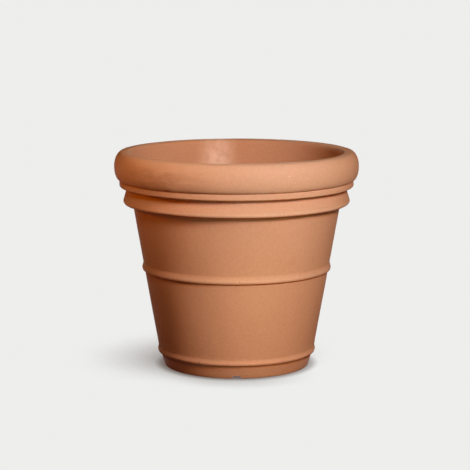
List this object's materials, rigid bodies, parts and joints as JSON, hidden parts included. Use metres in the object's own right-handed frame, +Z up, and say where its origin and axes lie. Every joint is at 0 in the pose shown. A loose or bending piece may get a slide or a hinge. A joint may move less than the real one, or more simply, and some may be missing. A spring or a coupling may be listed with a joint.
{
  "type": "rolled-rim planter",
  "caption": "Round tapering plastic planter with a hollow rolled rim, raised bands, a notched foot ring and removable rubber bungs in its drain holes.",
  "frame": {"origin": "centre of the foot ring, on the ground", "axes": "+Z up along the pot's axis; -Y towards the front, where one drain notch is"},
  "size_m": [0.5, 0.4998, 0.442],
  "materials": {
    "terracotta_plastic": "matte moulded polyethylene in a terracotta colour, faintly mottled",
    "bung_rubber": "dull black rubber"
  },
  "bodies": {
    "shell": {"pot_shell": "terracotta_plastic"},
    "plug_centre": {"drain_plug_centre": "bung_rubber"},
    "plug_front": {"drain_plug_front": "bung_rubber"},
    "plug_rear_right": {"drain_plug_rear_right": "bung_rubber"},
    "plug_rear_left": {"drain_plug_rear_left": "bung_rubber"}
  },
  "joints": [
    {"name": "pull_plug_centre", "type": "slide", "parent": "shell", "child": "plug_centre", "axis": [0, 0, 1], "range_m": [0, 0.46]},
    {"name": "pull_plug_front", "type": "slide", "parent": "shell", "child": "plug_front", "axis": [0, 0, 1], "range_m": [0, 0.46]},
    {"name": "pull_plug_rear_right", "type": "slide", "parent": "shell", "child": "plug_rear_right", "axis": [0, 0, 1], "range_m": [0, 0.46]},
    {"name": "pull_plug_rear_left", "type": "slide", "parent": "shell", "child": "plug_rear_left", "axis": [0, 0, 1], "range_m": [0, 0.46]}
  ]
}
